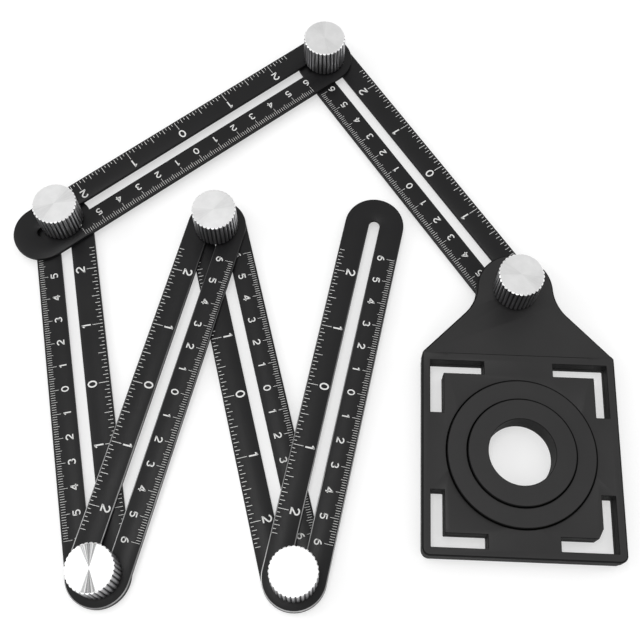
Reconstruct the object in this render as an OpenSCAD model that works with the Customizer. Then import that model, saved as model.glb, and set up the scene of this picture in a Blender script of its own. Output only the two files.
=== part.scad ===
// Multi-angle folding ruler: six slotted arms and a hole locator plate, clamped by six thumb knobs.
// Millimetres, +Z up. The origin is on the table, on the axis of the locator's guide hole.
// The arms lie in two layers by turns, and each clamp bolt can slide along the slots it passes through.

/* [Arms] */
// Overall length of one arm
arm_length = 174; // [150:1:200]
// Width of one arm, with full round ends
arm_width = 25; // [22:0.5:30]
// Thickness of one arm
arm_thickness = 2; // [1.6:0.1:3]
// Width of the slot along the middle of each arm
slot_width = 4.6; // [4.4:0.1:5.6]

/* [Clamp bolts] */
// Gap on each side of a bolt in a slot, hole, washer or knob
bolt_clearance = 0.05; // [0.02:0.01:0.1]
// Diameter of the flat head under the arms
head_diameter = 11; // [9:0.5:14]
// Thickness of the flat head
head_thickness = 1.5; // [1.2:0.1:2.5]
// Width across the flats of the hexagon socket in the head
socket_width = 3; // [2:0.5:4]
// Depth of the hexagon socket
socket_depth = 1; // [0.6:0.1:1.1]
// Diameter of the thread above the arms
thread_diameter = 4; // [3:0.1:4.2]
// Length of the thread inside the knob
thread_reach = 8; // [5:0.5:9]

/* [Thumb knobs] */
// Diameter over the tips of the flutes
knob_diameter = 18.4; // [16:0.2:24]
// Height of a knob
knob_height = 15.5; // [11:0.5:18]
// Number of flutes round a knob
flute_count = 32; // [24:1:40]
// Depth of a flute
flute_depth = 0.6; // [0.3:0.1:0.8]
// Bevel round the top of a knob
knob_bevel = 0.5; // [0.3:0.1:1]
// Depth of the thread left free above the end of the bolt
thread_spare = 1; // [0.5:0.25:1.5]
// Diameter of the washer under a knob
washer_diameter = 17; // [12:0.5:18]
// Thickness of the washer
washer_thickness = 0.6; // [0.4:0.1:1]

/* [Locator plate] */
// Side to side width of the plate
plate_width = 77; // [76:0.5:90]
// Length of the square body along the neck's direction
plate_length = 80; // [78:0.5:90]
// Thickness of the upper shell, which carries the neck
shell_thickness = 5.5; // [4.5:0.25:8]
// Radius of the body's two outer corners
outer_corner = 3; // [2:0.5:7]
// Radius of the two corners where the shoulders meet the sides
shoulder_corner = 4; // [2:0.5:6]
// Distance from the guide hole's axis to the neck's clamp bolt
neck_reach = 68.6; // [66:0.2:80]
// Radius of the round end of the neck
neck_radius = 15.7; // [13:0.1:17]
// Radius of the hollow curve between the neck and each shoulder
neck_fillet = 18; // [12:1:24]
// Height of the step from the neck's face up to the body's face
neck_step = 0.4; // [0.2:0.1:0.8]
// How far the base shell is set in from the upper shell's edge
base_inset = 0.2; // [0.1:0.1:1]

/* [Windows and screws] */
// Width of the border outside each corner window
window_border = 3.3; // [2.5:0.1:4]
// Length of each leg of a corner window
window_leg = 21.5; // [16:0.5:24]
// Width of each leg of a corner window
window_width = 5.3; // [4.5:0.1:6]
// Length of the slanted inner corner of one window, along the plate's length
slant_length = 3.8; // [2:0.1:5]
// Width of that slanted corner
slant_width = 1.9; // [1:0.1:3]
// Thread diameter of the screws that hold the base shell
screw_diameter = 2.2; // [1.8:0.1:2.6]
// Head diameter of those screws
screw_head = 4.2; // [3.6:0.1:4.6]
// Gap round a screw and its head
screw_clearance = 0.05; // [0.02:0.01:0.1]
// How far a screw bites into the upper shell
screw_bite = 3; // [2:0.25:3.5]

/* [Guide rings] */
// Outer radius of the large guide ring
large_ring_radius = 28.8; // [28:0.1:31]
// Outer radius of the small guide ring
small_ring_radius = 20.9; // [20:0.1:23]
// Radius of the guide hole through the small ring
guide_radius = 13; // [10:0.1:15]
// Width of the ledge that carries each ring
ring_ledge = 1.8; // [1.2:0.1:2.4]
// Gap round each ring
ring_clearance = 0.4; // [0.1:0.05:0.5]
// How far each ring stands above the piece it sits in
ring_rise = 1.2; // [0.5:0.1:2]

/* [Pose] */
// Heading of the first arm, from the locator's clamp to the next
heading_1 = 126.4; // [120:0.1:135]
// Heading of the second arm
heading_2 = 218.6; // [210:0.1:225]
// Heading of the third arm
heading_3 = -77.2; // [-80:0.1:-74]
// Heading of the fourth arm
heading_4 = 77.1; // [73:0.1:80]
// Heading of the fifth arm
heading_5 = -74.4; // [-77:0.1:-71]
// Heading of the sixth arm, whose far end is free
heading_6 = 79.5; // [77:0.1:82]
// How far the locator's clamp sits in from the end of the first arm's slot
locator_inset = 9; // [8:0.5:12]
// How far the third clamp sits in from the end of the second arm's slot
corner_inset = 9.5; // [8:0.5:14]

/* [Hidden] */
$fn = 64;
// Extra length that lets a cut pass right through
cut = 1;

// Heights above the table
low_layer = head_thickness;
high_layer = low_layer + arm_thickness;
arms_top = high_layer + arm_thickness;
shell_bottom = high_layer;
shell_top = shell_bottom + shell_thickness;
neck_top = shell_top - neck_step;

// Chain of arms: bolt n joins piece n - 1 to arm n, and the locator is piece 0
headings = [heading_1, heading_2, heading_3, heading_4, heading_5, heading_6];
near_insets = [locator_inset, 0, 0, 0, 0, 0];
far_insets = [0, corner_inset, 0, 0, 0, 0];
slot_reach = (arm_length - arm_width) / 2;
function along(heading) = [cos(heading), sin(heading)];
function span(n) = 2 * slot_reach - near_insets[n] - far_insets[n];
function clamp_at(n) = n == 0 ? [0, neck_reach] : clamp_at(n - 1) + span(n - 1) * along(headings[n - 1]);
function arm_at(n) = clamp_at(n) + (slot_reach - near_insets[n]) * along(headings[n]);
function arm_level(n) = n % 2 == 0 ? low_layer : high_layer;
function grip_top(n) = n == 0 ? neck_top : arms_top;

neck_diameter = slot_width - 2 * bolt_clearance;
half_width = plate_width / 2;
half_length = plate_length / 2;
window_edge_x = half_width - window_border;
window_edge_y = half_length - window_border;
screw_x = (half_width + large_ring_radius) / 2;
screw_y = (half_length + large_ring_radius) / 2;
head_depth = (screw_head - screw_diameter) / 2;

// Shoulder lines run at 45 degrees from the body's corners towards the neck
shoulder_offset = (half_width + half_length - neck_reach) / sqrt(2);
fillet_across = shoulder_offset + neck_fillet;
fillet_along = sqrt((neck_radius + neck_fillet) ^ 2 - fillet_across ^ 2);
fillet_centre = [(fillet_across + fillet_along) / sqrt(2), (fillet_across - fillet_along) / sqrt(2)];
neck_angle = atan2(fillet_centre.y, fillet_centre.x);
shoulder_centre_x = half_width - shoulder_corner;
shoulder_centre_y = sqrt(2) * (shoulder_offset - shoulder_corner) - shoulder_centre_x + neck_reach;

// Right-hand edge of the upper shell, from the middle of the outer side to the tip of the neck
shoulder_angle = 45;
arc_steps = 24;
function arc(centre, radius, from, to) =
    [for (i = [0:arc_steps]) centre + radius * along(from + (to - from) * i / arc_steps)];
function inner(points) = [for (i = [1:len(points) - 2]) points[i]];
right_edge = concat(
    arc([half_width - outer_corner, outer_corner - half_length], outer_corner, -90, 0),
    arc([shoulder_centre_x, shoulder_centre_y], shoulder_corner, 0, shoulder_angle),
    arc(fillet_centre + [0, neck_reach], neck_fillet, 180 + shoulder_angle, 180 + neck_angle),
    inner(arc([0, neck_reach], neck_radius, neck_angle, 90))
);
left_edge = [for (i = [len(right_edge) - 1:-1:0]) [-right_edge[i].x, right_edge[i].y]];

// One slotted arm, centred on the origin and lying along X
module slotted_arm() {
    linear_extrude(arm_thickness)
        difference() {
            stadium(arm_width);
            stadium(slot_width);
        }
}

// Round-ended strip as long as the slot plus its own width
module stadium(width) {
    square([2 * slot_reach, width], center = true);
    for (side = [-1, 1])
        translate([side * slot_reach, 0])
            circle(d = width);
}

module arm(n) {
    color([0.18, 0.18, 0.18])
        translate([arm_at(n).x, arm_at(n).y, arm_level(n)])
            rotate(headings[n])
                slotted_arm();
}

// Flat-headed bolt: head under the arms, plain neck in the slots, thread up into the knob
module bolt(n) {
    neck_length = grip_top(n) - head_thickness;
    thread_length = washer_thickness + thread_reach;
    color([0.75, 0.76, 0.78])
        translate(clamp_at(n)) {
            difference() {
                cylinder(d = head_diameter, h = head_thickness);
                translate([0, 0, -cut])
                    cylinder(d = socket_width / cos(30), h = socket_depth + cut, $fn = 6);
            }
            translate([0, 0, head_thickness])
                cylinder(d = neck_diameter, h = neck_length);
            translate([0, 0, head_thickness + neck_length])
                cylinder(d = thread_diameter, h = thread_length);
        }
}

module washer(n) {
    color([0.1, 0.1, 0.1])
        translate([clamp_at(n).x, clamp_at(n).y, grip_top(n)])
            linear_extrude(washer_thickness)
                difference() {
                    circle(d = washer_diameter);
                    circle(d = thread_diameter + 2 * bolt_clearance);
                }
}

// Fluted outline: rounded ridges with a sharp valley between each pair
module fluted_outline() {
    pitch = 360 / flute_count;
    tip = knob_diameter / 2;
    valley = tip - flute_depth;
    ridge_start = 0.3;
    ridge_end = 1 - ridge_start;
    polygon([
        for (i = [0:flute_count - 1], step = [[0, valley], [ridge_start, tip], [ridge_end, tip]])
            step[1] * along((i + step[0]) * pitch)
    ]);
}

// Turned thumb knob: fluted sides, bevelled top and a blind threaded hole
module knob(n) {
    tip = knob_diameter / 2;
    hole_depth = thread_reach + thread_spare;
    color([0.85, 0.86, 0.87])
        translate([clamp_at(n).x, clamp_at(n).y, grip_top(n) + washer_thickness])
            difference() {
                intersection() {
                    linear_extrude(knob_height)
                        fluted_outline();
                    union() {
                        cylinder(r = tip, h = knob_height - knob_bevel);
                        translate([0, 0, knob_height - knob_bevel])
                            cylinder(r1 = tip, r2 = tip - knob_bevel, h = knob_bevel);
                    }
                }
                translate([0, 0, -cut])
                    cylinder(d = thread_diameter + 2 * bolt_clearance, h = hole_depth + cut);
            }
}

// Square body with two rounded outer corners, drawn from the shoulders' corners outwards
module body_outline(inset) {
    x = half_width - inset;
    y = half_length - inset;
    r = outer_corner;
    translate([-x, r - y])
        square([2 * x, shoulder_centre_y + y - r]);
    translate([r - x, -y])
        square([2 * (x - r), 2 * r]);
    for (side = [-1, 1])
        translate([side * (x - r), r - y])
            circle(r);
}

// Four L-shaped corner windows, one with a slanted inner corner
module window_outlines() {
    for (sx = [-1, 1], sy = [-1, 1]) {
        translate([sx * (window_edge_x - window_width / 2), sy * (window_edge_y - window_leg / 2)])
            square([window_width, window_leg], center = true);
        translate([sx * (window_edge_x - window_leg / 2), sy * (window_edge_y - window_width / 2)])
            square([window_leg, window_width], center = true);
    }
    translate([window_edge_x - window_width, window_width - window_edge_y])
        polygon([[0, -cut], [cut, 0], [0, slant_length], [-slant_width, 0], [-slant_width, -cut]]);
}

module at_screws() {
    for (place = [[-screw_x, 0], [screw_x, 0], [0, -screw_y], [0, screw_y]])
        translate(place)
            children();
}

// Countersunk screw solid, grown all round by a gap when it cuts its own hole
module screw_solid(gap) {
    shank = screw_diameter / 2 + gap;
    cylinder(r1 = screw_head / 2 + gap, r2 = shank, h = head_depth);
    cylinder(r = shank, h = shell_bottom + screw_bite + gap);
}

module screw_hole() {
    screw_solid(screw_clearance);
    translate([0, 0, -cut])
        cylinder(d = screw_head + 2 * screw_clearance, h = cut);
}

// Whole outline of the upper shell: body, shoulders, hollow curves and round neck
module shell_outline() {
    polygon(concat(right_edge, left_edge));
}

// Upper shell: the body's face stands a step above the shoulders and the neck
module locator_shell() {
    color([0.22, 0.22, 0.22])
        difference() {
            translate([0, 0, shell_bottom]) {
                linear_extrude(shell_thickness - neck_step)
                    shell_outline();
                linear_extrude(shell_thickness)
                    intersection() {
                        shell_outline();
                        square([plate_width, plate_length], center = true);
                    }
            }
            translate([0, 0, shell_bottom - cut])
                linear_extrude(shell_thickness + 2 * cut)
                    window_outlines();
            translate([0, 0, shell_bottom - cut])
                cylinder(r = large_ring_radius + ring_clearance, h = shell_thickness + 2 * cut);
            translate([0, neck_reach, shell_bottom - cut])
                cylinder(d = neck_diameter + 2 * bolt_clearance, h = shell_thickness + 2 * cut);
            at_screws()
                screw_hole();
        }
}

// Base shell: carries the ledge for the large ring and stands on the table
module locator_base() {
    color([0.2, 0.2, 0.2])
        difference() {
            linear_extrude(shell_bottom)
                body_outline(base_inset);
            translate([0, 0, -cut])
                linear_extrude(shell_bottom + 2 * cut)
                    window_outlines();
            translate([0, 0, -cut])
                cylinder(r = large_ring_radius - ring_ledge + ring_clearance, h = shell_bottom + 2 * cut);
            at_screws()
                screw_hole();
        }
}

module base_screws() {
    color([0.7, 0.71, 0.73])
        at_screws()
            screw_solid(0);
}

// Stepped ring: its wide upper part rests on the ledge of the piece round it
module stepped_ring(outer, top) {
    cylinder(r = outer - ring_ledge, h = shell_bottom + cut);
    translate([0, 0, shell_bottom])
        cylinder(r = outer, h = top - shell_bottom);
}

module large_ring() {
    color([0.22, 0.22, 0.22])
        difference() {
            stepped_ring(large_ring_radius, shell_top + ring_rise);
            translate([0, 0, shell_bottom])
                cylinder(r = small_ring_radius + ring_clearance, h = shell_thickness + ring_rise + cut);
            translate([0, 0, -cut])
                cylinder(r = small_ring_radius - ring_ledge + ring_clearance, h = shell_bottom + 2 * cut);
        }
}

module small_ring() {
    color([0.22, 0.22, 0.22])
        difference() {
            stepped_ring(small_ring_radius, shell_top + 2 * ring_rise);
            translate([0, 0, -cut])
                cylinder(r = guide_radius, h = shell_top + 2 * ring_rise + 2 * cut);
        }
}

arm(0);  // arm_1
arm(1);  // arm_2
arm(2);  // arm_3
arm(3);  // arm_4
arm(4);  // arm_5
arm(5);  // arm_6
bolt(0);  // bolt_1
bolt(1);  // bolt_2
bolt(2);  // bolt_3
bolt(3);  // bolt_4
bolt(4);  // bolt_5
bolt(5);  // bolt_6
washer(0);  // washer_1
washer(1);  // washer_2
washer(2);  // washer_3
washer(3);  // washer_4
washer(4);  // washer_5
washer(5);  // washer_6
knob(0);  // knob_1
knob(1);  // knob_2
knob(2);  // knob_3
knob(3);  // knob_4
knob(4);  // knob_5
knob(5);  // knob_6
locator_shell();
locator_base();
base_screws();
large_ring();
small_ring();
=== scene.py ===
import math

import bmesh
import bpy
from mathutils import Matrix, Vector


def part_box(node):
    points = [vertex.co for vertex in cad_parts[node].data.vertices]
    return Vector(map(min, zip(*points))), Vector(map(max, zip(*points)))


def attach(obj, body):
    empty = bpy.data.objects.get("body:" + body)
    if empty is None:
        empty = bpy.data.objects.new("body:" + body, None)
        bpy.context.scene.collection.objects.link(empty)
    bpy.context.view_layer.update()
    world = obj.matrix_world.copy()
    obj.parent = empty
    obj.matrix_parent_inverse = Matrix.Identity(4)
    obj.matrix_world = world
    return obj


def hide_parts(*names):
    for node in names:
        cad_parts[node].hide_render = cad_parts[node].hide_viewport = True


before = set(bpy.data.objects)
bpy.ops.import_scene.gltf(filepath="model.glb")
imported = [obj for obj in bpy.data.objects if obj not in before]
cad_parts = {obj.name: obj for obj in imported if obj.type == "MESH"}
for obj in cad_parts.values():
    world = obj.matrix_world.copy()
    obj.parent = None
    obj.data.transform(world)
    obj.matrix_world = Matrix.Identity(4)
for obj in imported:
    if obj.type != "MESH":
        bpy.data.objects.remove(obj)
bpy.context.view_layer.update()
scene = bpy.context.scene
scene.view_settings.view_transform = "Standard"

# Camera: it stands over the near edge of the table and looks down at the folded ruler.
# Its lens, place and slight tilt were fitted to the arms' edges and the plate's corners.
looking_at = Vector((-0.0813, 0.084331, 0.0))
camera_distance = 0.460011
heading, height, tilt = math.radians(-1.864), math.radians(66.0), math.radians(0.397)
looking = Vector((math.sin(heading) * math.cos(height),
                  math.cos(heading) * math.cos(height),
                  -math.sin(height)))
level = Vector((math.cos(heading), -math.sin(heading), 0.0))
upward = level.cross(looking)
camera_right = math.cos(tilt) * level + math.sin(tilt) * upward
camera_up = math.cos(tilt) * upward - math.sin(tilt) * level
camera_data = bpy.data.cameras.new("camera")
camera_data.lens = 60.556
camera_data.sensor_width = 36.0
camera_data.shift_y = -0.1
camera_data.clip_start = 0.01
camera_data.clip_end = 100.0
camera = bpy.data.objects.new("camera", camera_data)
camera.matrix_world = (Matrix.Translation(looking_at - camera_distance * looking)
                       @ Matrix((camera_right, camera_up, -looking)).transposed().to_4x4())
scene.collection.objects.link(camera)
scene.camera = camera

# Table and light: a white, slightly glossy table under a pale studio tent that is darker near the
# horizon, with a soft lamp on the left, weaker ones on the right and low in front, and a narrow one
# overhead that the nearest knobs and arm ends mirror.
table_mesh = bpy.data.meshes.new("table")
table_build = bmesh.new()
table_sides = 96
table_flat = 6.0
table_curve = 1.5
curve_steps = 12
curve_turns = [math.radians(90.0 * i / curve_steps) for i in range(curve_steps + 1)]
table_profile = [(table_flat + table_curve * math.sin(turn), table_curve - table_curve * math.cos(turn))
                 for turn in curve_turns]
table_loops = [[table_build.verts.new((r * math.cos(2 * math.pi * k / table_sides),
                                       r * math.sin(2 * math.pi * k / table_sides), z))
                for k in range(table_sides)] for r, z in table_profile]
table_build.faces.new(table_loops[0])
for low_loop, high_loop in zip(table_loops, table_loops[1:]):
    for k in range(table_sides):
        m = (k + 1) % table_sides
        table_build.faces.new((low_loop[m], low_loop[k], high_loop[k], high_loop[m]))
table_build.to_mesh(table_mesh)
table_build.free()
table_mesh.shade_smooth()
table = bpy.data.objects.new("table", table_mesh)
table_drop = 0.00005
table.location.z = -table_drop
scene.collection.objects.link(table)
table_white = bpy.data.materials.new("table_white")
table_white.use_nodes = True
table_surface = table_white.node_tree.nodes["Principled BSDF"]
table_surface.inputs["Base Color"].default_value = (0.55, 0.55, 0.55, 1.0)
table_surface.inputs["Roughness"].default_value = 0.2
table_surface.inputs["Specular IOR Level"].default_value = 0.3
table_add, table_join = table_white.node_tree.nodes.new, table_white.node_tree.links.new
seen = table_add("ShaderNodeLightPath")
seen_glossy = table_add("ShaderNodeMath")
seen_glossy.operation = "MAXIMUM"
seen_any = table_add("ShaderNodeMath")
seen_any.operation = "MAXIMUM"
table_join(seen.outputs["Is Camera Ray"], seen_glossy.inputs[0])
table_join(seen.outputs["Is Glossy Ray"], seen_glossy.inputs[1])
table_join(seen_glossy.outputs[0], seen_any.inputs[0])
table_join(seen.outputs["Is Transmission Ray"], seen_any.inputs[1])
backlit = table_add("ShaderNodeMath")
backlit.operation = "MULTIPLY"
backlit.inputs[1].default_value = 0.5
table_join(seen_any.outputs[0], backlit.inputs[0])
table_glow = table_add("ShaderNodeEmission")
table_join(backlit.outputs[0], table_glow.inputs["Strength"])
table_both = table_add("ShaderNodeAddShader")
table_join(table_surface.outputs["BSDF"], table_both.inputs[0])
table_join(table_glow.outputs["Emission"], table_both.inputs[1])
table_join(table_both.outputs["Shader"], table_white.node_tree.nodes["Material Output"].inputs["Surface"])
table_mesh.materials.append(table_white)

tent = bpy.data.worlds.new("studio_tent")
tent.use_nodes = True
scene.world = tent
tent_nodes, tent_links = tent.node_tree.nodes, tent.node_tree.links
tent_direction = tent_nodes.new("ShaderNodeTexCoord")
tent_split = tent_nodes.new("ShaderNodeSeparateXYZ")
tent_fade = tent_nodes.new("ShaderNodeMapRange")
tent_fade.interpolation_type = "SMOOTHSTEP"
tent_fade.inputs["From Min"].default_value = 0.0
tent_fade.inputs["From Max"].default_value = 0.75
tent_fade.inputs["To Min"].default_value = 0.32
tent_fade.inputs["To Max"].default_value = 1.0
tent_links.new(tent_direction.outputs["Generated"], tent_split.inputs[0])
tent_links.new(tent_split.outputs["Z"], tent_fade.inputs["Value"])
tent_links.new(tent_fade.outputs["Result"], tent_nodes["Background"].inputs["Color"])
tent_nodes["Background"].inputs["Strength"].default_value = 0.85

lit_spot = Vector((-0.06, 0.06, 0.0))
for lamp_name, lamp_place, lamp_size, lamp_power in (
        ("lamp_over", (-0.235, 0.055, 1.0), (0.46, 0.16), 1.3),
        ("lamp_left", (-1.15, 0.10, 0.75), (0.7, 0.7), 3.2),
        ("lamp_right", (0.95, 0.30, 0.55), (0.35, 0.35), 1.2),
        ("lamp_front", (-0.25, -0.95, 0.40), (0.5, 0.5), 1.6)):
    lamp_data = bpy.data.lights.new(lamp_name, "AREA")
    lamp_data.shape = "ELLIPSE"
    lamp_data.size, lamp_data.size_y = lamp_size
    lamp_data.energy = lamp_power
    lamp = bpy.data.objects.new(lamp_name, lamp_data)
    aim = lit_spot - Vector(lamp_place)
    lamp.matrix_world = Matrix.Translation(lamp_place) @ aim.to_track_quat("-Z", "Y").to_matrix().to_4x4()
    scene.collection.objects.link(lamp)

# Arms: six flat aluminium strips with round ends and one long slot, punched from sheet,
# tumbled so that every edge is slightly round, and anodised satin black. The finish is duller on the
# cut walls. Pale bare metal is painted along the rims of the two arms whose ends stand in front near the
# clamps, as a highlight.
arm_headings = {1: 126.4 + 180.0, 2: 218.6 + 180.0, 3: -77.2, 4: 77.1, 5: -74.4 + 180.0, 6: 79.5}
arm_half_length = 0.08699
arm_half_width = 0.0125
slot_half_width = 0.0023
arm_edge_round = 0.0004
mark_depth = 0.00003
seat_gap = 0.00001
wall_slope = 0.2
edge_slope = 0.97
# Painted highlight: pale metal on the rounded rims of these arms, growing between the two reaches below
# towards their front ends.
highlighted_arms = (4, 6)
highlight_starts = 0.042
highlight_full = 0.078


def fine_grain_group():
    """Two sizes of speckle in object space, for any blasted, anodised or moulded surface."""
    group = bpy.data.node_groups.new("fine_grain", "ShaderNodeTree")
    for name, value in (("Grain per metre", 4000.0), ("Cloud per metre", 60.0), ("Low", 0.0), ("High", 1.0)):
        socket = group.interface.new_socket(name, in_out="INPUT", socket_type="NodeSocketFloat")
        socket.default_value = value
    for name in ("Value", "Cloud", "Height"):
        group.interface.new_socket(name, in_out="OUTPUT", socket_type="NodeSocketFloat")
    add, join = group.nodes.new, group.links.new
    entry, leave = add("NodeGroupInput"), add("NodeGroupOutput")
    place = add("ShaderNodeTexCoord")
    grain, cloud = add("ShaderNodeTexNoise"), add("ShaderNodeTexNoise")
    grain.inputs["Detail"].default_value = 3.0
    cloud.inputs["Detail"].default_value = 4.0
    join(place.outputs["Object"], grain.inputs["Vector"])
    join(place.outputs["Object"], cloud.inputs["Vector"])
    join(entry.outputs["Grain per metre"], grain.inputs["Scale"])
    join(entry.outputs["Cloud per metre"], cloud.inputs["Scale"])
    both = add("ShaderNodeMix")
    both.data_type = "FLOAT"
    both.inputs["Factor"].default_value = 0.5
    join(grain.outputs["Fac"], both.inputs["A"])
    join(cloud.outputs["Fac"], both.inputs["B"])
    spread = add("ShaderNodeMapRange")
    spread.inputs["From Min"].default_value = 0.3
    spread.inputs["From Max"].default_value = 0.7
    join(both.outputs["Result"], spread.inputs["Value"])
    join(entry.outputs["Low"], spread.inputs["To Min"])
    join(entry.outputs["High"], spread.inputs["To Max"])
    join(spread.outputs["Result"], leave.inputs["Value"])
    join(cloud.outputs["Fac"], leave.inputs["Cloud"])
    join(grain.outputs["Fac"], leave.inputs["Height"])
    return group


fine_grain = fine_grain_group()


def grained_finish(name, dark, pale, rough, gloss, bump, grain_size, metal=0.0):
    """A one-colour finish whose tone, roughness and relief follow the fine grain."""
    finish = bpy.data.materials.new(name)
    finish.use_nodes = True
    add, join = finish.node_tree.nodes.new, finish.node_tree.links.new
    surface = finish.node_tree.nodes["Principled BSDF"]
    surface.inputs["Metallic"].default_value = metal
    surface.inputs["Specular IOR Level"].default_value = gloss
    grain = add("ShaderNodeGroup")
    grain.node_tree = fine_grain
    grain.inputs["Grain per metre"].default_value = 1.0 / grain_size
    grain.inputs["Low"].default_value = rough[0]
    grain.inputs["High"].default_value = rough[1]
    join(grain.outputs["Value"], surface.inputs["Roughness"])
    tone = add("ShaderNodeMix")
    tone.data_type = "RGBA"
    tone.inputs["A"].default_value = (*dark, 1.0)
    tone.inputs["B"].default_value = (*pale, 1.0)
    join(grain.outputs["Cloud"], tone.inputs["Factor"])
    join(tone.outputs["Result"], surface.inputs["Base Color"])
    relief = add("ShaderNodeBump")
    relief.inputs["Strength"].default_value = bump
    relief.inputs["Distance"].default_value = 0.00002
    join(grain.outputs["Height"], relief.inputs["Height"])
    join(relief.outputs["Normal"], surface.inputs["Normal"])
    return finish


black_anodise = grained_finish("black_anodise", (0.0035, 0.0035, 0.004), (0.0085, 0.0082, 0.0088),
                               (0.30, 0.42), 0.24, 0.25, 0.0002)
sheared_black = grained_finish("sheared_black", (0.006, 0.006, 0.006), (0.011, 0.011, 0.011),
                               (0.55, 0.75), 0.1, 0.3, 0.0003)


def painted_highlight_edge_finish():
    """Black anodise that gives way to pale bare metal, a painted highlight, where a mesh attribute rises."""
    # Painted highlight: the pale tone and the metal that stand in for glare on the rims.
    finish = grained_finish("painted_highlight_edge", (0.006, 0.006, 0.0065), (0.8, 0.8, 0.8),
                            (0.30, 0.42), 0.24, 0.25, 0.0003)
    nodes, join = finish.node_tree.nodes, finish.node_tree.links.new
    painted_highlight = nodes.new("ShaderNodeAttribute")
    painted_highlight.attribute_name = "painted_highlight"
    patches = nodes.new("ShaderNodeMath")
    patches.operation = "MULTIPLY"
    join(nodes["Group"].outputs["Cloud"], patches.inputs[0])
    join(painted_highlight.outputs["Fac"], patches.inputs[1])
    join(patches.outputs[0], nodes["Mix"].inputs["Factor"])
    join(painted_highlight.outputs["Fac"], nodes["Principled BSDF"].inputs["Metallic"])
    return finish


painted_highlight_edge = painted_highlight_edge_finish()


def dull_walls(mesh, slope):
    """Give every face whose normal rises less than a limit the second material of the mesh."""
    for f in mesh.polygons:
        f.material_index = 1 if abs(f.normal.z) < slope else 0


def strip_loop(centre_reach, half_width, z, steps=28):
    """One round-ended loop of points at a given half width and height."""
    loop = []
    for side in (1, -1):
        for i in range(steps + 1):
            turn = math.radians(90.0 * (1 - side) - 90.0 + 180.0 * i / steps)
            loop.append((side * centre_reach + half_width * math.cos(turn), half_width * math.sin(turn), z))
    return loop


def rounded(corner, inward, size):
    """Three points that round one corner of a section, given the two directions along its sides."""
    (x, z), (ax, az), (bx, bz) = corner, inward[0], inward[1]
    soft = size * (1 - math.sqrt(0.5))
    return [(x + size * ax, z + size * az),
            (x + soft * (ax + bx), z + soft * (az + bz)),
            (x + size * bx, z + size * bz)]


def arm_mesh(name, thickness):
    """The strip as a rounded section swept once round the slot."""
    outer, inner, r = arm_half_width, slot_half_width, arm_edge_round
    section = (rounded((outer, 0.0), ((-1, 0), (0, 1)), r)
               + rounded((outer, thickness), ((0, -1), (-1, 0)), r)
               + rounded((inner, thickness), ((1, 0), (0, -1)), r)
               + rounded((inner, 0.0), ((0, 1), (1, 0)), r))
    build = bmesh.new()
    loops = [[build.verts.new(p) for p in strip_loop(arm_half_length - outer, w, z)] for w, z in section]
    count = len(loops[0])
    for one, two in zip(loops, loops[1:] + loops[:1]):
        for i in range(count):
            j = (i + 1) % count
            build.faces.new((one[i], one[j], two[j], two[i]))
    bmesh.ops.recalc_face_normals(build, faces=build.faces)
    mesh = bpy.data.meshes.new(name)
    build.to_mesh(mesh)
    build.free()
    mesh.shade_smooth()
    mesh.set_sharp_from_angle(angle=math.radians(25.0))
    return mesh


arm_places = {}
for n, arm_heading in arm_headings.items():
    lowest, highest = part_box("arm_%d" % n)
    middle = (lowest + highest) / 2
    arm_places[n] = (Matrix.Translation((middle.x, middle.y, lowest.z + seat_gap))
                     @ Matrix.Rotation(math.radians(arm_heading), 4, "Z"))
    arm_body = arm_mesh("arm_strip_%d" % n, highest.z - lowest.z - seat_gap - mark_depth)
    # Painted highlight: the share of pale metal at each point, rising towards the arm's front end.
    painted_highlight = arm_body.attributes.new("painted_highlight", "FLOAT", "POINT")
    for vertex, highlight_share in zip(arm_body.vertices, painted_highlight.data):
        highlight_share.value = min(max((-vertex.co.x - highlight_starts) / (highlight_full - highlight_starts), 0.0), 1.0) ** 2
    arm_body.transform(arm_places[n])
    arm_body.materials.append(black_anodise)
    arm_body.materials.append(sheared_black)
    arm_body.materials.append(painted_highlight_edge)
    dull_walls(arm_body, wall_slope)
    for f in arm_body.polygons:
        if n in highlighted_arms and wall_slope < f.normal.z < edge_slope:
            f.material_index = 2
    arm_strip = bpy.data.objects.new("arm_strip_%d" % n, arm_body)
    scene.collection.objects.link(arm_strip)
    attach(arm_strip, "arm_%d" % n)
    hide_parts("arm_%d" % n)

# Scales: a millimetre scale along one edge of each arm and an inch scale along the other, both
# counted outwards from the middle, marked into the black finish in white.
mark_height = 0.00002
centimetre = 0.010
inch = 0.0254
numeral_spread = 1.26
numeral_weight = 0.165
small_numeral, small_numeral_line = 0.0030, -0.0058
large_numeral, large_numeral_line = 0.0037, 0.0052
scale_white = grained_finish("scale_white", (0.70, 0.70, 0.69), (0.86, 0.86, 0.85),
                             (0.5, 0.65), 0.3, 0.1, 0.0001)


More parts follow.
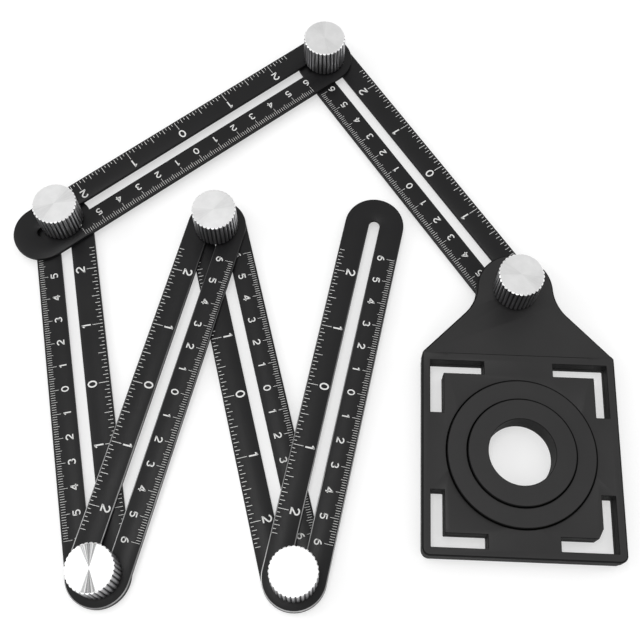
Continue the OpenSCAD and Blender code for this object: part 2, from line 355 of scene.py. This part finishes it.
def ruled_scale_tree():
    """A row of marks either side of zero; the longest level whose step divides the count is used."""
    tree = bpy.data.node_groups.new("ruled_scale", "GeometryNodeTree")
    levels = ("Eighth", "Quarter", "Half", "Whole")
    lengths = ["Pitch", "Edge", "Line width", "Line height", "Shortest"]
    for level_name in levels:
        lengths += [level_name + " every", level_name + " length"]
    tree.interface.new_socket("Marks each side", in_out="INPUT", socket_type="NodeSocketInt")
    for name in lengths:
        tree.interface.new_socket(name, in_out="INPUT", socket_type="NodeSocketFloat")
    tree.interface.new_socket("Ink", in_out="INPUT", socket_type="NodeSocketMaterial")
    tree.interface.new_socket("Marks", in_out="OUTPUT", socket_type="NodeSocketGeometry")
    add, join = tree.nodes.new, tree.links.new
    entry, leave = add("NodeGroupInput"), add("NodeGroupOutput")

    def maths(operation, a, b=None):
        step = add("ShaderNodeMath")
        step.operation = operation
        for socket, value in zip(step.inputs, (a, b)):
            if isinstance(value, (int, float)):
                socket.default_value = value
            elif value is not None:
                join(value, socket)
        return step.outputs[0]

    def vector(x, y, z):
        made = add("ShaderNodeCombineXYZ")
        for socket, value in zip(made.inputs, (x, y, z)):
            if value is not None:
                join(value, socket)
        return made.outputs[0]

    each_side = entry.outputs["Marks each side"]
    row = add("GeometryNodeMeshLine")
    row.mode = "OFFSET"
    join(maths("MULTIPLY_ADD", each_side, 2.0), row.inputs["Count"])
    row.inputs["Count"].links[0].from_node.inputs[2].default_value = 1.0
    start = maths("MULTIPLY", maths("MULTIPLY", each_side, entry.outputs["Pitch"]), -1.0)
    join(vector(start, None, None), row.inputs["Start Location"])
    join(vector(entry.outputs["Pitch"], None, None), row.inputs["Offset"])
    counted = maths("ABSOLUTE", maths("SUBTRACT", add("GeometryNodeInputIndex").outputs[0], each_side))
    length = entry.outputs["Shortest"]
    for level_name in levels:
        left_over = maths("MODULO", counted, entry.outputs[level_name + " every"])
        choose = add("GeometryNodeSwitch")
        choose.input_type = "FLOAT"
        join(maths("LESS_THAN", left_over, 0.5), choose.inputs["Switch"])
        join(length, choose.inputs["False"])
        join(entry.outputs[level_name + " length"], choose.inputs["True"])
        length = choose.outputs[0]
    settle = add("GeometryNodeSetPosition")
    join(row.outputs["Mesh"], settle.inputs["Geometry"])
    inward = maths("SUBTRACT", entry.outputs["Edge"], maths("MULTIPLY", length, 0.5))
    join(vector(None, inward, maths("MULTIPLY", entry.outputs["Line height"], 0.5)), settle.inputs["Offset"])
    mark = add("GeometryNodeMeshCube")
    mark.inputs["Size"].default_value = (1.0, 1.0, 1.0)
    place = add("GeometryNodeInstanceOnPoints")
    join(settle.outputs["Geometry"], place.inputs["Points"])
    join(mark.outputs["Mesh"], place.inputs["Instance"])
    join(vector(entry.outputs["Line width"], length, entry.outputs["Line height"]), place.inputs["Scale"])
    real = add("GeometryNodeRealizeInstances")
    ink = add("GeometryNodeSetMaterial")
    join(place.outputs["Instances"], real.inputs["Geometry"])
    join(real.outputs["Geometry"], ink.inputs["Geometry"])
    join(entry.outputs["Ink"], ink.inputs["Material"])
    join(ink.outputs["Geometry"], leave.inputs["Marks"])
    return tree


def baked(carrier):
    """The carrier's finished shape as a plain mesh. The carrier itself is removed."""
    graph = bpy.context.evaluated_depsgraph_get()
    mesh = bpy.data.meshes.new_from_object(carrier.evaluated_get(graph), depsgraph=graph)
    bpy.data.objects.remove(carrier)
    return mesh


def grown(tree, values, start):
    """What a tree makes of a starting shape and one set of values, as a plain mesh."""
    carrier = bpy.data.objects.new(tree.name, start)
    scene.collection.objects.link(carrier)
    growth = carrier.modifiers.new(tree.name, "NODES")
    growth.node_group = tree
    for item in tree.interface.items_tree:
        if item.in_out == "INPUT" and item.name in values:
            growth[item.identifier] = values[item.name]
    carrier.update_tag()
    return baked(carrier)


def rule(values):
    """One row of marks as a plain mesh."""
    return grown(ruled_scale, dict(values, **{"Line height": mark_height, "Ink": scale_white}),
                 bpy.data.meshes.new("rule"))


def bow(x, y, wide, tall, start, stop, steps=16):
    """Points along part of an ellipse."""
    turns = [math.radians(start + (stop - start) * i / steps) for i in range(steps + 1)]
    return [(x + wide * math.cos(a), y + tall * math.sin(a)) for a in turns]


numeral_strokes = [
    [bow(0.0, 0.0, 0.25, 0.435, 0, 360, 28)],
    [[(-0.17, 0.22), (0.03, 0.45)], [(0.03, 0.5), (0.03, -0.5)]],
    [bow(0.0, 0.185, 0.245, 0.25, 172, -38) + [(-0.25, -0.41)], [(-0.29, -0.435), (0.28, -0.435)]],
    [bow(-0.01, 0.22, 0.22, 0.215, 155, -90), bow(-0.01, -0.215, 0.25, 0.22, 90, -155)],
    [[(0.12, -0.5), (0.12, 0.5)], [(0.12, 0.47), (-0.26, -0.18)], [(-0.32, -0.2), (0.3, -0.2)]],
    [[(0.25, 0.435), (-0.21, 0.435)], [(-0.185, 0.47), (-0.225, -0.02)],
     bow(-0.005, -0.16, 0.25, 0.275, 150, -145)],
    [bow(0.0, -0.175, 0.24, 0.26, 0, 360, 28), bow(0.13, -0.14, 0.37, 0.57, 85, 180)],
]


def pen_stroke_tree():
    """A flat line of even width laid along every stroke of a figure."""
    tree = bpy.data.node_groups.new("pen_stroke", "GeometryNodeTree")
    for name, kind in (("Strokes", "NodeSocketGeometry"), ("Line width", "NodeSocketFloat"),
                       ("Line height", "NodeSocketFloat"), ("Ink", "NodeSocketMaterial")):
        tree.interface.new_socket(name, in_out="INPUT", socket_type=kind)
    tree.interface.new_socket("Figure", in_out="OUTPUT", socket_type="NodeSocketGeometry")
    add, join = tree.nodes.new, tree.links.new
    entry, leave = add("NodeGroupInput"), add("NodeGroupOutput")
    upright = add("GeometryNodeSetCurveNormal")
    upright.mode = "Z_UP"
    section = add("GeometryNodeCurvePrimitiveQuadrilateral")
    sweep = add("GeometryNodeCurveToMesh")
    sweep.inputs["Fill Caps"].default_value = True
    real = add("GeometryNodeRealizeInstances")
    ink = add("GeometryNodeSetMaterial")
    join(entry.outputs["Strokes"], upright.inputs["Curve"])
    join(entry.outputs["Line width"], section.inputs["Width"])
    join(entry.outputs["Line height"], section.inputs["Height"])
    join(upright.outputs["Curve"], sweep.inputs["Curve"])
    join(section.outputs["Curve"], sweep.inputs["Profile Curve"])
    join(sweep.outputs["Mesh"], real.inputs["Geometry"])
    join(real.outputs["Geometry"], ink.inputs["Geometry"])
    join(entry.outputs["Ink"], ink.inputs["Material"])
    join(ink.outputs["Geometry"], leave.inputs["Figure"])
    return tree


pen_stroke = pen_stroke_tree()


def numeral(figure, tall):
    """One upright figure, centred, of a given height and as thin as the marks."""
    lines = bpy.data.curves.new("numeral", "CURVE")
    lines.dimensions = "3D"
    for stroke in numeral_strokes[figure]:
        closed = (Vector(stroke[0]) - Vector(stroke[-1])).length < 0.001
        points = stroke[:-1] if closed else stroke
        line = lines.splines.new("POLY")
        line.points.add(len(points) - 1)
        line.use_cyclic_u = closed
        for point, (x, y) in zip(line.points, points):
            point.co = (tall * numeral_spread * x, tall * y, mark_height / 2, 1.0)
    values = {"Line width": numeral_weight * tall, "Line height": mark_height, "Ink": scale_white}
    return grown(pen_stroke, values, lines)


ruled_scale = ruled_scale_tree()
never = 1000.0
centimetre_rule = rule({
    "Edge": 0.0117, "Marks each side": 60, "Pitch": centimetre / 10, "Line width": 0.00013,
    "Shortest": 0.0018, "Eighth every": never, "Eighth length": 0.0018,
    "Quarter every": never, "Quarter length": 0.0018,
    "Half every": 5.0, "Half length": 0.0024, "Whole every": 10.0, "Whole length": 0.0034})
inch_rule = rule({
    "Edge": 0.0119, "Marks each side": 38, "Pitch": inch / 16, "Line width": 0.00018,
    "Shortest": 0.0011, "Eighth every": 2.0, "Eighth length": 0.0020,
    "Quarter every": 4.0, "Quarter length": 0.0022,
    "Half every": 8.0, "Half length": 0.0031, "Whole every": 16.0, "Whole length": 0.0041})
small_numerals = [numeral(figure, small_numeral) for figure in range(7)]
large_numerals = [numeral(figure, large_numeral) for figure in range(3)]
half_turn = Matrix.Rotation(math.pi, 4, "Z")

for n, arm_place in arm_places.items():
    lowest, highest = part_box("arm_%d" % n)
    face = Matrix.Translation((0.0, 0.0, highest.z - lowest.z - seat_gap - mark_depth))
    parts = [(inch_rule, Matrix.Identity(4)), (centimetre_rule, half_turn)]
    for k in range(-6, 7):
        spot = (centimetre * k, small_numeral_line, 0.0)
        parts.append((small_numerals[abs(k)], Matrix.Translation(spot) @ half_turn))
    for k in range(-2, 3):
        spot = (inch * k, large_numeral_line, 0.0)
        parts.append((large_numerals[abs(k)], Matrix.Translation(spot) @ half_turn))
    build = bmesh.new()
    for mesh, where in parts:
        placed = mesh.copy()
        placed.transform(arm_place @ face @ where)
        build.from_mesh(placed)
        bpy.data.meshes.remove(placed)
    scale_mesh = bpy.data.meshes.new("arm_scale_%d" % n)
    build.to_mesh(scale_mesh)
    build.free()
    scale_mesh.materials.clear()
    scale_mesh.materials.append(scale_white)
    arm_scale = bpy.data.objects.new("arm_scale_%d" % n, scale_mesh)
    scene.collection.objects.link(arm_scale)
    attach(arm_scale, "arm_%d" % n)

# Clamp bolts: flat-headed steel bolts turned from bar and zinc plated, put in from below so that
# the plain neck runs in the slots and the thread goes up into the knob.
bolt_steel = grained_finish("bolt_steel", (0.50, 0.51, 0.53), (0.66, 0.67, 0.69),
                            (0.26, 0.42), 0.5, 0.2, 0.0003, metal=1.0)
for n in range(1, 7):
    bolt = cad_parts["bolt_%d" % n].data
    bolt.materials.clear()
    bolt.materials.append(bolt_steel)

# Washers: thin black washers stamped from sheet, lying loose between each knob and what it clamps.
# They keep the turning knob from rubbing the black finish off.
washer_black = grained_finish("washer_black", (0.006, 0.006, 0.006), (0.016, 0.016, 0.016),
                              (0.5, 0.68), 0.25, 0.3, 0.0004)
for n in range(1, 7):
    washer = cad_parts["washer_%d" % n].data
    washer.materials.clear()
    washer.materials.append(washer_black)

# Knobs: thumb nuts turned from aluminium bar, with straight flutes pressed into the sides, a bevel cut
# through the flutes' tops and a flat face. The lathe's fans of light are painted on the face, the bevel is
# painted pale as a highlight, and painted shade darkens the fluted side, most in its valleys.
knob_radius = 0.0092
knob_valley = 0.0086
knob_bevel = 0.0005
# Painted highlight: the pale tone given to the cut bevel.
bevel_highlight_tone = (0.97, 0.97, 0.97)
bevel_rough = 0.5
knob_foot = 0.0003
knob_flutes = 32
steps_per_flute = 10
flute_roundness = 0.55
least_bevel = 0.00006
least_bevel_drop = 0.00003
face_radii = (0.0078, 0.003, 0.0006)
thread_radius = 0.00205
thread_depth = 0.009
knob_turns = {1: 70.0, 2: 210.0, 3: 130.0, 4: 8.0, 5: 300.0, 6: 165.0}
# Painted reflection: how strongly the lathe's fans are painted on each knob's face.
knob_painted_fans = {1: 0.10, 2: 0.08, 3: 0.14, 4: 1.0, 5: 0.10, 6: 0.06}


def turned_aluminium_finish():
    """Bright metal with fine rings on the face; painted fans of reflected light on the face, a bevel painted
    pale as a highlight, and a fluted side in painted shade, darkest in the valleys.
    """
    finish = bpy.data.materials.new("turned_aluminium")
    finish.use_nodes = True
    add, join = finish.node_tree.nodes.new, finish.node_tree.links.new
    surface = finish.node_tree.nodes["Principled BSDF"]
    surface.inputs["Metallic"].default_value = 1.0
    face_map = add("ShaderNodeUVMap")
    face_map.uv_map = "face_map"
    direction = add("ShaderNodeVectorMath")
    direction.operation = "NORMALIZE"
    join(face_map.outputs["UV"], direction.inputs[0])
    streaks = add("ShaderNodeTexNoise")
    streaks.inputs["Scale"].default_value = 13.0
    streaks.inputs["Detail"].default_value = 6.0
    streaks.inputs["Roughness"].default_value = 0.8
    join(direction.outputs["Vector"], streaks.inputs["Vector"])
    parts = add("ShaderNodeSeparateXYZ")
    join(direction.outputs["Vector"], parts.inputs[0])
    bow_tie = add("ShaderNodeMath")
    bow_tie.operation = "MULTIPLY"
    join(parts.outputs["Y"], bow_tie.inputs[0])
    join(parts.outputs["Y"], bow_tie.inputs[1])
    fans = add("ShaderNodeMath")
    fans.operation = "ADD"
    join(bow_tie.outputs[0], fans.inputs[0])
    join(streaks.outputs["Fac"], fans.inputs[1])
    reach = add("ShaderNodeVectorMath")
    reach.operation = "LENGTH"
    join(face_map.outputs["UV"], reach.inputs[0])
    rings = add("ShaderNodeTexNoise")
    rings.noise_dimensions = "1D"
    rings.inputs["Scale"].default_value = 90.0
    rings.inputs["Detail"].default_value = 2.0
    join(reach.outputs["Value"], rings.inputs["W"])
    # Painted reflection: the fans' bow-tie of light and dark, laid into the face's colour.
    fan_tone = add("ShaderNodeMapRange")
    fan_tone.data_type = "FLOAT_VECTOR"
    fan_sockets = {x.name: x for x in fan_tone.inputs if x.type == "VECTOR"}
    for socket, value in (("From Min", 1.2), ("From Max", 1.55), ("To Min", 0.93), ("To Max", 0.06)):
        fan_sockets[socket].default_value = (value,) * 3
    join(fans.outputs[0], fan_sockets["Vector"])
    clouds = add("ShaderNodeTexNoise")
    clouds.inputs["Scale"].default_value = 2.2
    clouds.inputs["Detail"].default_value = 5.0
    join(face_map.outputs["UV"], clouds.inputs["Vector"])
    plain_tone = add("ShaderNodeMix")
    plain_tone.data_type = "RGBA"
    plain_tone.inputs["A"].default_value = (0.69, 0.69, 0.69, 1.0)
    plain_tone.inputs["B"].default_value = (0.89, 0.89, 0.89, 1.0)
    join(clouds.outputs["Fac"], plain_tone.inputs["Factor"])
    painted_fan = add("ShaderNodeAttribute")
    painted_fan.attribute_name = "painted_fan"
    face_tone = add("ShaderNodeMix")
    face_tone.data_type = "RGBA"
    join(painted_fan.outputs["Fac"], face_tone.inputs["Factor"])
    join(plain_tone.outputs["Result"], face_tone.inputs["A"])
    join(fan_tone.outputs["Vector"], face_tone.inputs["B"])
    flute = add("ShaderNodeAttribute")
    flute.attribute_name = "flute"
    # Painted shade: the fluted side runs from near black in the valleys to mid grey on the ridges, well below
    # the face.
    flute_painted_shade = add("ShaderNodeValToRGB")
    flute_painted_shade.color_ramp.elements[0].position = 0.15
    flute_painted_shade.color_ramp.elements[0].color = (0.03, 0.03, 0.032, 1.0)
    flute_painted_shade.color_ramp.elements[1].position = 0.95
    flute_painted_shade.color_ramp.elements[1].color = (0.42, 0.42, 0.43, 1.0)
    join(flute.outputs["Fac"], flute_painted_shade.inputs["Fac"])
    side = add("ShaderNodeAttribute")
    side.attribute_name = "side"
    tone = add("ShaderNodeMix")
    tone.data_type = "RGBA"
    join(side.outputs["Fac"], tone.inputs["Factor"])
    join(face_tone.outputs["Result"], tone.inputs["A"])
    join(flute_painted_shade.outputs["Color"], tone.inputs["B"])
    bevel = add("ShaderNodeAttribute")
    bevel.attribute_name = "bevel"
    # Painted highlight: the bevel's pale tone mixed over the rest.
    cut_tone = add("ShaderNodeMix")
    cut_tone.data_type = "RGBA"
    cut_tone.inputs["B"].default_value = (*bevel_highlight_tone, 1.0)
    join(bevel.outputs["Fac"], cut_tone.inputs["Factor"])
    join(tone.outputs["Result"], cut_tone.inputs["A"])
    join(cut_tone.outputs["Result"], surface.inputs["Base Color"])
    rough = add("ShaderNodeMapRange")
    rough.inputs["To Min"].default_value = 0.26
    rough.inputs["To Max"].default_value = 0.42
    join(rings.outputs["Fac"], rough.inputs["Value"])
    cut_rough = add("ShaderNodeMix")
    cut_rough.data_type = "FLOAT"
    cut_rough.inputs["B"].default_value = bevel_rough
    join(bevel.outputs["Fac"], cut_rough.inputs["Factor"])
    join(rough.outputs["Result"], cut_rough.inputs["A"])
    join(cut_rough.outputs["Result"], surface.inputs["Roughness"])
    relief = add("ShaderNodeBump")
    relief.inputs["Strength"].default_value = 0.12
    relief.inputs["Distance"].default_value = 0.00002
    join(rings.outputs["Fac"], relief.inputs["Height"])
    join(relief.outputs["Normal"], surface.inputs["Normal"])
    return finish


turned_aluminium = turned_aluminium_finish()


def knob_mesh(name, tall, turn, painted_fan):
    """A fluted nut: bottom with its blind hole, fluted wall, bevel cut through the flutes, flat face."""
    count = knob_flutes * steps_per_flute
    ridge = [math.sin(math.pi * (i % steps_per_flute) / steps_per_flute) ** flute_roundness
             for i in range(count)]
    wall = [knob_valley + (knob_radius - knob_valley) * r for r in ridge]
    shoulder = tall - knob_bevel
    rim = [min(w - least_bevel, knob_radius - knob_bevel) for w in wall]
    rows = [
        ([thread_radius] * count, thread_depth), ([thread_radius] * count, 0.0),
        ([w - knob_foot for w in wall], 0.0), (wall, knob_foot), (wall, None), (rim, tall)]
    side_rows = len(rows) - 1
    rows += [([radius] * count, tall) for radius in face_radii]
    build = bmesh.new()
    flute_layer = build.verts.layers.float.new("flute")
    side_layer = build.verts.layers.float.new("side")
    fan_layer = build.verts.layers.float.new("painted_fan")
    bevel_layer = build.faces.layers.float.new("bevel")
    face_map = build.loops.layers.uv.new("face_map")
    loops = []
    for k, (radii, z) in enumerate(rows):
        loop = []
        for i in range(count):
            a = math.radians(turn) + 2 * math.pi * i / count
            up = min(shoulder + knob_radius - radii[i], tall - least_bevel_drop) if z is None else z
            vertex = build.verts.new((radii[i] * math.cos(a), radii[i] * math.sin(a), up))
            vertex[flute_layer] = ridge[i]
            vertex[side_layer] = 1.0 if k < side_rows else 0.0
            vertex[fan_layer] = painted_fan
            loop.append(vertex)
        loops.append(loop)
    hub_low = build.verts.new((0.0, 0.0, thread_depth))
    hub_low[side_layer] = 1.0
    hub_top = build.verts.new((0.0, 0.0, tall))
    hub_top[fan_layer] = painted_fan
    for one, two in zip(loops, loops[1:]):
        for i in range(count):
            j = (i + 1) % count
            side_face = build.faces.new((one[i], one[j], two[j], two[i]))
            side_face[bevel_layer] = 1.0 if two is loops[side_rows] else 0.0
    for i in range(count):
        j = (i + 1) % count
        build.faces.new((loops[0][j], loops[0][i], hub_low))
        build.faces.new((loops[-1][i], loops[-1][j], hub_top))
    bmesh.ops.recalc_face_normals(build, faces=build.faces)
    back = Matrix.Rotation(math.radians(-turn), 2)
    for f in build.faces:
        for corner in f.loops:
            corner[face_map].uv = (back @ corner.vert.co.xy) / knob_radius
    mesh = bpy.data.meshes.new(name)
    build.to_mesh(mesh)
    build.free()
    mesh.shade_smooth()
    mesh.set_sharp_from_angle(angle=math.radians(28.0))
    return mesh


for n, knob_turn in knob_turns.items():
    lowest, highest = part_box("knob_%d" % n)
    middle = (lowest + highest) / 2
    knob_body = knob_mesh("thumb_knob_%d" % n, highest.z - lowest.z, knob_turn, knob_painted_fans[n])
    knob_body.transform(Matrix.Translation((middle.x, middle.y, lowest.z)))
    knob_body.materials.append(turned_aluminium)
    thumb_knob = bpy.data.objects.new("thumb_knob_%d" % n, knob_body)
    scene.collection.objects.link(thumb_knob)
    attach(thumb_knob, "knob_%d" % n)
    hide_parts("knob_%d" % n)

# Locator shells: two black mouldings that make the square plate, the upper one with the round neck
# for its clamp. Their edges are softened as a mould leaves them, and the faces are finely matt.
moulded_black = grained_finish("moulded_black", (0.0085, 0.0083, 0.0086), (0.0165, 0.0158, 0.016),
                               (0.38, 0.52), 0.38, 0.35, 0.00035)
# Painted shade: a darker, less glossy copy of the black for the walls and rounded edges, which keeps them
# dark as shaded sides.
painted_shade_wall_black = grained_finish("painted_shade_wall_black", (0.006, 0.006, 0.006), (0.011, 0.011, 0.011),
                                  (0.55, 0.75), 0.1, 0.3, 0.0004)
mould_wall_slope = 0.95
merge_reach = 0.000002
flat_angle = math.radians(0.5)
sharp_angle = math.radians(40.0)


def softened(node, name, size, share, ready=None):
    """A copy of a CAD node with its sharp edges rounded, each by its own share of one size."""
    build = bmesh.new()
    build.from_mesh(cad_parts[node].data)
    bmesh.ops.remove_doubles(build, verts=build.verts, dist=merge_reach)
    bmesh.ops.dissolve_limit(build, angle_limit=flat_angle, verts=build.verts, edges=build.edges)
    if ready:
        ready(build)
    weight = build.edges.layers.float.new("bevel_weight_edge")
    for e in build.edges:
        if len(e.link_faces) == 2 and e.calc_face_angle() > sharp_angle:
            e[weight] = share((e.verts[0].co + e.verts[1].co) / 2)
    mesh = bpy.data.meshes.new(name)
    build.to_mesh(mesh)
    build.free()
    carrier = bpy.data.objects.new(name, mesh)
    scene.collection.objects.link(carrier)
    edge = carrier.modifiers.new("edge", "BEVEL")
    edge.limit_method = "WEIGHT"
    edge.width = size
    edge.segments = 2
    edge.use_clamp_overlap = False
    edge.loop_slide = False
    soft = baked(carrier)
    soft.name = name
    soft.shade_smooth()
    soft.set_sharp_from_angle(angle=math.radians(25.0))
    return soft


shell_low, shell_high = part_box("locator_shell")
neck_low, neck_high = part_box("bolt_1")
neck_centre = ((neck_low + neck_high) / 2).xy
plate_half = Vector((shell_high.x, -shell_low.y))
step_height = 0.0004
plate_border = 0.003
ring_gap = 0.0004
ring_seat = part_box("large_ring")[1].x + ring_gap
neck_bore_reach = 0.006
face_reach = 0.0005
step_end_reach = 0.0009
step_rounded = 0.028
on_line = 0.00001


def by_step_end(p):
    """Whether a point of the outline lies within reach of one end of the step across the plate."""
    return abs(p.y - plate_half.y) < step_end_reach and abs(p.x) > plate_half.x - plate_border


def on_step_edge(p):
    """Whether a point lies on the upper edge of the step."""
    return abs(p.y - plate_half.y) < on_line and abs(p.z - shell_high.z) < on_line


def part_step(build):
    """Split the step where its rounding ends, with one flat wall either side of each end of the step."""
    hair = merge_reach / 2
    bmesh.ops.bisect_plane(build, geom=build.verts[:] + build.edges[:] + build.faces[:], dist=hair,
                           plane_co=(0.0, plate_half.y, 0.0), plane_no=(0.0, 1.0, 0.0))
    walls = [e for e in build.edges
             if all(by_step_end(v.co) and abs(v.co.y - plate_half.y) > merge_reach for v in e.verts)
             and (e.verts[0].co - e.verts[1].co).xy.length < hair]
    bmesh.ops.dissolve_edges(build, edges=walls, use_verts=True)
    for side in (-1, 1):
        step_edges = [e for e in build.edges if all(on_step_edge(v.co) for v in e.verts)]
        beside = {f for e in step_edges for f in e.link_faces}
        touched = list(beside)
        touched += list({e for f in beside for e in f.edges})
        touched += list({v for f in beside for v in f.verts})
        bmesh.ops.bisect_plane(build, geom=touched, dist=hair,
                               plane_co=(side * step_rounded, 0.0, 0.0), plane_no=(1.0, 0.0, 0.0))


def plate_edge_share(p):
    """Full rounding on the upper rim, less on windows, bores, underside and step, none at the step's ends."""
    if p.z < shell_low.z + face_reach:
        return 0.5
    if on_step_edge(p) and abs(p.x) < step_rounded:
        return 0.55
    if abs(p.y - plate_half.y) < on_line or by_step_end(p):
        return 0.0
    if p.z < shell_high.z - step_height - face_reach:
        return 0.3
    if abs(p.xy.length - ring_seat) < ring_gap:
        return 0.45
    inside_border = abs(p.x) < plate_half.x - plate_border and abs(p.y) < plate_half.y - plate_border
    in_bore = (p.xy - neck_centre).length < neck_bore_reach
    return 0.3 if inside_border or in_bore else 1.0


def even_share(p):
    """The same rounding on every edge."""
    return 1.0


for node, edge_size, edge_share, make_ready in (("locator_shell", 0.0006, plate_edge_share, part_step),
                                                ("locator_base", 0.0003, even_share, None)):
    shell_mesh = softened(node, "moulded_" + node, edge_size, edge_share, make_ready)
    shell_mesh.materials.clear()
    shell_mesh.materials.append(moulded_black)
    shell_mesh.materials.append(painted_shade_wall_black)
    dull_walls(shell_mesh, mould_wall_slope)
    shell = bpy.data.objects.new("moulded_" + node, shell_mesh)
    scene.collection.objects.link(shell)
    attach(shell, "locator")
    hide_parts(node)

# Guide rings: two black moulded rings that drop into the plate and into each other, each resting
# on a ledge and standing a little higher than the piece round it, so that a finger can lift it out.
ring_edge_round = 0.00025
for node in ("large_ring", "small_ring"):
    ring_mesh = softened(node, "moulded_" + node, ring_edge_round, even_share)
    ring_mesh.materials.clear()
    ring_mesh.materials.append(moulded_black)
    # Painted shade: the ring's walls and rounded edges take the darker copy of the black.
    ring_mesh.materials.append(painted_shade_wall_black)
    dull_walls(ring_mesh, mould_wall_slope)
    ring = bpy.data.objects.new("moulded_" + node, ring_mesh)
    scene.collection.objects.link(ring)
    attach(ring, node)
    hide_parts(node)

# Base screws: four small countersunk steel screws with a cross recess, driven in from below to
# hold the lower shell to the upper one.
screw_radius = 0.0021
shank_radius = 0.0011
recess_reach = 0.00125
recess_half = 0.00028
recess_depth = 0.0007
recess_taper = 0.8
screw_sides = 32


def screw_mesh(tall):
    """Head face with its cross recess, countersunk cone and plain shank."""
    build = bmesh.new()

    def loop(points, z):
        return [build.verts.new((x, y, z)) for x, y in points]

    def circle(radius):
        turns = [2 * math.pi * i / screw_sides for i in range(screw_sides)]
        return [(radius * math.cos(turn), radius * math.sin(turn)) for turn in turns]

    w, r = recess_half, recess_reach
    cross = [(r, -w), (r, w), (w, w), (w, r), (-w, r), (-w, w),
             (-r, w), (-r, -w), (-w, -w), (-w, -r), (w, -r), (w, -w)]
    head = loop(circle(screw_radius), 0.0)
    neck = loop(circle(shank_radius), screw_radius - shank_radius)
    end = loop(circle(shank_radius), tall)
    mouth = loop(cross, 0.0)
    floor = loop([(recess_taper * x, recess_taper * y) for x, y in cross], recess_depth)
    for one, two in ((head, neck), (neck, end), (mouth, floor)):
        for i in range(len(one)):
            j = (i + 1) % len(one)
            build.faces.new((one[i], one[j], two[j], two[i]))
    build.faces.new(end)
    build.faces.new(floor)
    rim = [e for e in build.edges if e.is_boundary]
    bmesh.ops.triangle_fill(build, use_beauty=True, edges=rim)
    bmesh.ops.recalc_face_normals(build, faces=build.faces)
    mesh = bpy.data.meshes.new("screw")
    build.to_mesh(mesh)
    build.free()
    mesh.shade_smooth()
    mesh.set_sharp_from_angle(angle=math.radians(25.0))
    return mesh


def screw_ring_tree():
    """One screw in the middle of each side of the plate."""
    tree = bpy.data.node_groups.new("screw_ring", "GeometryNodeTree")
    for name, kind in (("Screw", "NodeSocketGeometry"), ("Half across", "NodeSocketFloat"),
                       ("Half along", "NodeSocketFloat"), ("Finish", "NodeSocketMaterial")):
        tree.interface.new_socket(name, in_out="INPUT", socket_type=kind)
    tree.interface.new_socket("Screws", in_out="OUTPUT", socket_type="NodeSocketGeometry")
    add, join = tree.nodes.new, tree.links.new
    entry, leave = add("NodeGroupInput"), add("NodeGroupOutput")
    sides = add("GeometryNodeMeshCircle")
    sides.inputs["Vertices"].default_value = 4
    sides.inputs["Radius"].default_value = 1.0
    reach = add("ShaderNodeCombineXYZ")
    reach.inputs["Z"].default_value = 1.0
    spread = add("GeometryNodeTransform")
    place = add("GeometryNodeInstanceOnPoints")
    real = add("GeometryNodeRealizeInstances")
    finish = add("GeometryNodeSetMaterial")
    join(entry.outputs["Half across"], reach.inputs["X"])
    join(entry.outputs["Half along"], reach.inputs["Y"])
    join(sides.outputs["Mesh"], spread.inputs["Geometry"])
    join(reach.outputs[0], spread.inputs["Scale"])
    join(spread.outputs["Geometry"], place.inputs["Points"])
    join(entry.outputs["Screw"], place.inputs["Instance"])
    join(place.outputs["Instances"], real.inputs["Geometry"])
    join(real.outputs["Geometry"], finish.inputs["Geometry"])
    join(entry.outputs["Finish"], finish.inputs["Material"])
    join(finish.outputs["Geometry"], leave.inputs["Screws"])
    return tree


screws_low, screws_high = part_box("base_screws")
screw_values = {"Half across": screws_high.x - screw_radius,
                "Half along": screws_high.y - screw_radius, "Finish": bolt_steel}
screws_mesh = grown(screw_ring_tree(), screw_values, screw_mesh(screws_high.z - screws_low.z))
cross_screws = bpy.data.objects.new("cross_screws", screws_mesh)
scene.collection.objects.link(cross_screws)
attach(cross_screws, "locator")
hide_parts("base_screws")
